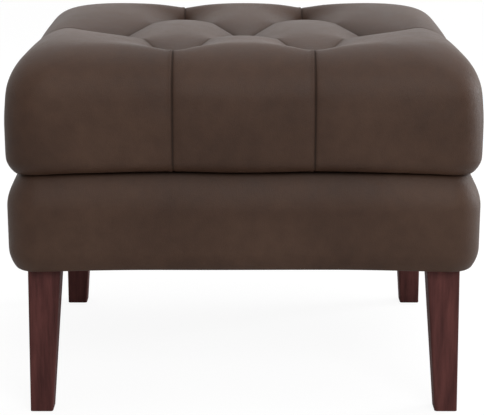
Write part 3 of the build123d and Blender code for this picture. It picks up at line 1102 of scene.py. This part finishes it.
leg_dark = (0.045, 0.0145, 0.0135)
leg_light = (0.128, 0.043, 0.038)
leg_wood = wood_finish("leg_wood", leg_dark, leg_light, 2, 0.52, coat=0.02, specular=0.10)
frame_wood = wood_finish("frame_wood", (0.42, 0.28, 0.15), (0.70, 0.53, 0.34), 0, 0.62)
dowel_wood = wood_finish("dowel_wood", (0.52, 0.37, 0.21), (0.74, 0.58, 0.38), 0, 0.6)
deck_plywood = plywood_finish()
print("four wood finishes")

# %% [markdown]
# ## The rest of the finishes
# What lies inside or underneath is finished as well, since the piece is also seen from below and
# taken apart: foam with open cells, fibrous wadding and dust cloth, pressed card, twisted twine,
# zinc-plated steel and moulded nylon.

# %% Soft inner finishes


def cell_finish(name, dark, light, scale, depth, roughness):
    """Foam, wadding or card: a fine noise for both the colour and the relief."""
    finish = Finish(name, roughness)
    where = finish.place()
    cells = finish.noise(where, scale, detail=4.0, roughness=0.65)
    patches = finish.noise(where, scale / 30, detail=2.0)
    color = finish.mix(cells * 0.7 + patches * 0.3, rgb(*dark), rgb(*light))
    finish.set(Base_Color=color)
    finish.bump(cells, depth)
    return finish.material


def cloth_finish():
    """Non-woven cloth: short crossed fibres pressed flat."""
    finish = Finish("dust_cloth", 0.9)
    one_way = finish.noise(finish.place((900, 90, 200)), 1.0, detail=2.0)
    other_way = finish.noise(finish.place((90, 900, 200)), 1.0, detail=2.0)
    fibres = finish.node("ShaderNodeMath", {"operation": "MAXIMUM"}, {0: one_way, 1: other_way})
    finish.set(Base_Color=finish.mix(fibres, rgb(0.008, 0.008, 0.009), rgb(0.035, 0.035, 0.037)))
    finish.bump(fibres, 0.2 * MM)
    return finish.material


def twine_finish():
    finish = Finish("waxed_twine", 0.7)
    strands = {"Vector": finish.place(), "Scale": 260.0, "Distortion": 1.0}
    twist = finish.node("ShaderNodeTexWave", {"bands_direction": "DIAGONAL"}, strands)
    finish.set(Base_Color=finish.mix(twist, rgb(0.38, 0.31, 0.20), rgb(0.72, 0.64, 0.48)))
    finish.bump(twist, 0.3 * MM)
    return finish.material


foam = cell_finish("seat_foam", (0.62, 0.54, 0.30), (0.86, 0.80, 0.56), 900.0, 0.4 * MM, 0.95)
wadding = cell_finish("wadding", (0.62, 0.62, 0.60), (0.88, 0.88, 0.86), 240.0, 1.0 * MM, 0.95)
card = cell_finish("pressed_card", (0.34, 0.23, 0.13), (0.56, 0.42, 0.27), 420.0, 0.1 * MM, 0.85)
dust_cloth = cloth_finish()
twine = twine_finish()
print("five soft finishes")

# %% Metal and nylon finishes


def metal_finish(name, dark, light, roughness):
    finish = Finish(name, Metallic=1.0)
    where = finish.place((200, 200, 900))
    brushed = finish.noise(where, 1.0, detail=3.0)
    finish.set(
        Base_Color=finish.mix(brushed, rgb(*dark), rgb(*light)),
        Roughness=roughness + brushed * 0.2,
    )
    finish.bump(brushed, 0.05 * MM)
    return finish.material


def nylon_finish():
    finish = Finish("glide_nylon")
    scuffs = finish.noise(finish.place((300, 60, 60)), 1.0, detail=4.0)
    finish.set(
        Base_Color=finish.mix(scuffs, rgb(0.055, 0.048, 0.044), rgb(0.10, 0.09, 0.082)),
        Roughness=0.42 + scuffs * 0.25,
    )
    finish.bump(scuffs, 0.1 * MM)
    return finish.material


zinc_steel = metal_finish("zinc_steel", (0.42, 0.42, 0.40), (0.70, 0.70, 0.67), 0.25)
staple_steel = metal_finish("staple_steel", (0.50, 0.50, 0.50), (0.78, 0.78, 0.78), 0.2)
glide_nylon = nylon_finish()
print("three hard finishes")

# %% [markdown]
# ## Finishes onto the solids
# The solids keep their shapes. Each gets the finish of its slot in the record.

# %% Assign finishes
finishes = {
    "leather": leather_material,
    "leg_wood": leg_wood,
    "frame_wood": frame_wood,
    "dowel_wood": dowel_wood,
    "plywood": deck_plywood,
    "foam": foam,
    "wadding": wadding,
    "twine": twine,
    "cardboard": card,
    "dust_cloth": dust_cloth,
    "glide_nylon": glide_nylon,
    "zinc_steel": zinc_steel,
    "staple_steel": staple_steel,
}
for part in frame["record"]["subparts"]:
    solid = frame["nodes"][part["node"]]
    for slot in solid.material_slots:
        slot.material = finishes[part["material_slot"]]
for piece, finish in ((foam_block, foam), (padding, wadding)):
    piece.data.materials.clear()
    piece.data.materials.append(finish)
    select_only(piece)
    bpy.ops.object.shade_smooth()
print(len(frame["nodes"]), "solids finished")

# %% [markdown]
# ## The studio
# The background of a catalogue photograph is white. The floor is pale, and the camera sees it
# nearly as white as the world behind it. Four soft lights do the rest: a wide one above gives the
# tops of the diamonds their sheen, one high in front lights the faces and the shoulder, one at the
# right models the right edge, and a dim panel behind fills the back. The world adds a low fill, and
# it is white where it is seen or mirrored.

# %% Floor
bpy.ops.object.select_all(action="DESELECT")
bpy.ops.mesh.primitive_plane_add(size=24, location=(0, 0, 0))
floor = bpy.context.object
floor.name = "studio_floor"
floor_finish = Finish("pale_floor", 0.9)
floor_finish.surface.inputs["Base Color"].default_value = rgb(0.80, 0.80, 0.80)
glow = floor_finish.node("ShaderNodeEmission", inputs={"Color": rgb(1, 1, 1), "Strength": 1.12})
eye = floor_finish.node("ShaderNodeLightPath", output="Is Camera Ray")
lit = Socket(floor_finish, floor_finish.surface.outputs[0])
seen_floor = floor_finish.node("ShaderNodeMixShader", inputs={0: eye * 0.8, 1: lit, 2: glow})
floor_out = floor_finish.tree.nodes["Material Output"]
floor_finish.tree.links.new(seen_floor.output, floor_out.inputs["Surface"])
floor.data.materials.append(floor_finish.material)


print("a pale floor")

# %% Lights


def soft_light(name, place, target, size, power):
    data = bpy.data.lights.new(name, "AREA")
    data.shape = "RECTANGLE"
    data.size, data.size_y = size
    data.energy = power
    lamp = bpy.data.objects.new(name, data)
    lamp.location = place
    lamp.rotation_euler = (Vector(target) - Vector(place)).to_track_quat("-Z", "Y").to_euler()
    lamp.visible_camera = False
    bpy.context.scene.collection.objects.link(lamp)


middle = (0, 0, 0.35)
soft_light("top_light", (0.5, 0.4, 3.0), middle, (3.6, 3.0), 46)
soft_light("front_light", (0.9, -3.2, 2.3), middle, (2.4, 1.4), 60)
soft_light("edge_light", (3.0, 0.9, 0.9), middle, (0.9, 1.4), 50)
soft_light("back_panel", (1.2, 4.5, 1.1), middle, (6.0, 2.0), 16)

print("four soft lights")

# %% World
world = bpy.data.worlds.new("studio")
bpy.context.scene.world = world
world.use_nodes = True
sky = world.node_tree
back = sky.nodes["Background"]
back.inputs["Color"].default_value = (1, 1, 1, 1)
back.inputs["Strength"].default_value = 0.30
seen = sky.nodes.new("ShaderNodeBackground")
seen.inputs["Color"].default_value = (1, 1, 1, 1)
seen.inputs["Strength"].default_value = 1.0
rays = sky.nodes.new("ShaderNodeLightPath")
choose = sky.nodes.new("ShaderNodeMixShader")
mirrored = sky.nodes.new("ShaderNodeMath")
mirrored.operation = "MAXIMUM"
sky.links.new(rays.outputs["Is Glossy Ray"], mirrored.inputs[0])
sky.links.new(rays.outputs["Is Transmission Ray"], mirrored.inputs[1])
shown_white = sky.nodes.new("ShaderNodeMath")
shown_white.operation = "MAXIMUM"
sky.links.new(rays.outputs["Is Camera Ray"], shown_white.inputs[0])
sky.links.new(mirrored.outputs[0], shown_white.inputs[1])
sky.links.new(shown_white.outputs[0], choose.inputs[0])
sky.links.new(back.outputs[0], choose.inputs[1])
sky.links.new(seen.outputs[0], choose.inputs[2])
sky.links.new(choose.outputs[0], sky.nodes["World Output"].inputs["Surface"])
bpy.context.scene.view_settings.view_transform = "Standard"
print("a white world")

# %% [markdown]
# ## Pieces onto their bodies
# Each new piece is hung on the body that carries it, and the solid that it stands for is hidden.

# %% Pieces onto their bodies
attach(cushion, "root")
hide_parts("cushion_cover")
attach(band, "root")
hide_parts("band_cover")
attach(foam_block, "root")
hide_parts("cushion_foam")
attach(padding, "root")
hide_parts("band_padding")
